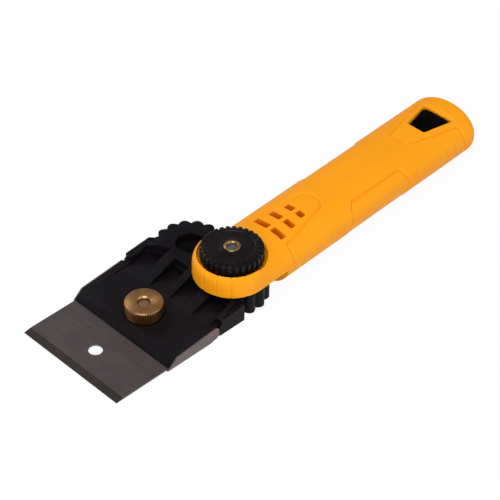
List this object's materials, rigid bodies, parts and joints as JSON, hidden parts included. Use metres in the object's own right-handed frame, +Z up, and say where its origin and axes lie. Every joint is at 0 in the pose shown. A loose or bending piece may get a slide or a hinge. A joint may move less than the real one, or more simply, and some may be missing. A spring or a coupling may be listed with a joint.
{
  "type": "blade scraper",
  "caption": "Hand scraper with a wide double-edged blade under a screw clamp, a black head with scalloped lobes, and an offset swivelling orange grip locked by a toothed knob.",
  "frame": {"origin": "on the axis of the blade clamp's stud, in the plane that the tool lies on, which is the underside of the stud and clamp plate", "axes": "+X along the tool from the cutting edge towards the handle, +Y to the tool's left, +Z up, square to the blade"},
  "size_m": [0.2772, 0.0722, 0.0334],
  "materials": {
    "blade_steel": "dark ground tool steel with a darker ground strip along each edge",
    "plate_steel": "bright plated sheet steel",
    "stud_steel": "plain threaded steel",
    "nut_brass": "turned brass with a knurled side",
    "black_nylon": "matt black moulded plastic",
    "bolt_steel": "plain threaded steel",
    "washer_steel": "plain steel",
    "black_knob": "satin black moulded plastic",
    "insert_brass": "turned brass",
    "orange_skin": "satin yellow-orange moulded plastic",
    "black_core": "matt black moulded plastic"
  },
  "bodies": {
    "handle": {"handle_skin": "orange_skin", "handle_core": "black_core"},
    "head": {"head_body": "black_nylon", "pivot_bolt": "bolt_steel"},
    "clamp": {"clamp_plate": "plate_steel", "clamp_stud": "stud_steel", "blade": "blade_steel"},
    "clamp_nut": {"clamp_nut": "nut_brass"},
    "knob_washer": {"knob_washer": "washer_steel"},
    "knob": {"knob_body": "black_knob", "knob_insert": "insert_brass"}
  },
  "joints": [
    {"name": "head_swivel", "type": "hinge", "parent": "handle", "child": "head", "pos_m": [0.0468, -0.0156, 0], "axis": [0, 0, 1], "range_deg": [-5, 92.3]},
    {"name": "clamp_nut_turn", "type": "hinge", "parent": "head", "child": "clamp_nut", "pos_m": [0, 0, 0], "axis": [0, 0, 1], "range_deg": [0, 721]},
    {"name": "clamp_plate_drop", "type": "slide", "parent": "head", "child": "clamp", "axis": [0, 0, -1], "range_m": [0, 0.002]},
    {"name": "knob_lift", "type": "slide", "parent": "head", "child": "knob_washer", "axis": [0, 0, 1], "range_m": [0, 0.0016]},
    {"name": "knob_turn", "type": "hinge", "parent": "knob_washer", "child": "knob", "pos_m": [0.0468, -0.0156, 0], "axis": [0, 0, 1], "range_deg": [0, 721]}
  ],
  "couplings": [
    {"joint": "clamp_nut_turn", "follows": "clamp_plate_drop", "rad_per_m": 6283.2},
    {"joint": "knob_turn", "follows": "knob_lift", "rad_per_m": 7854}
  ]
}
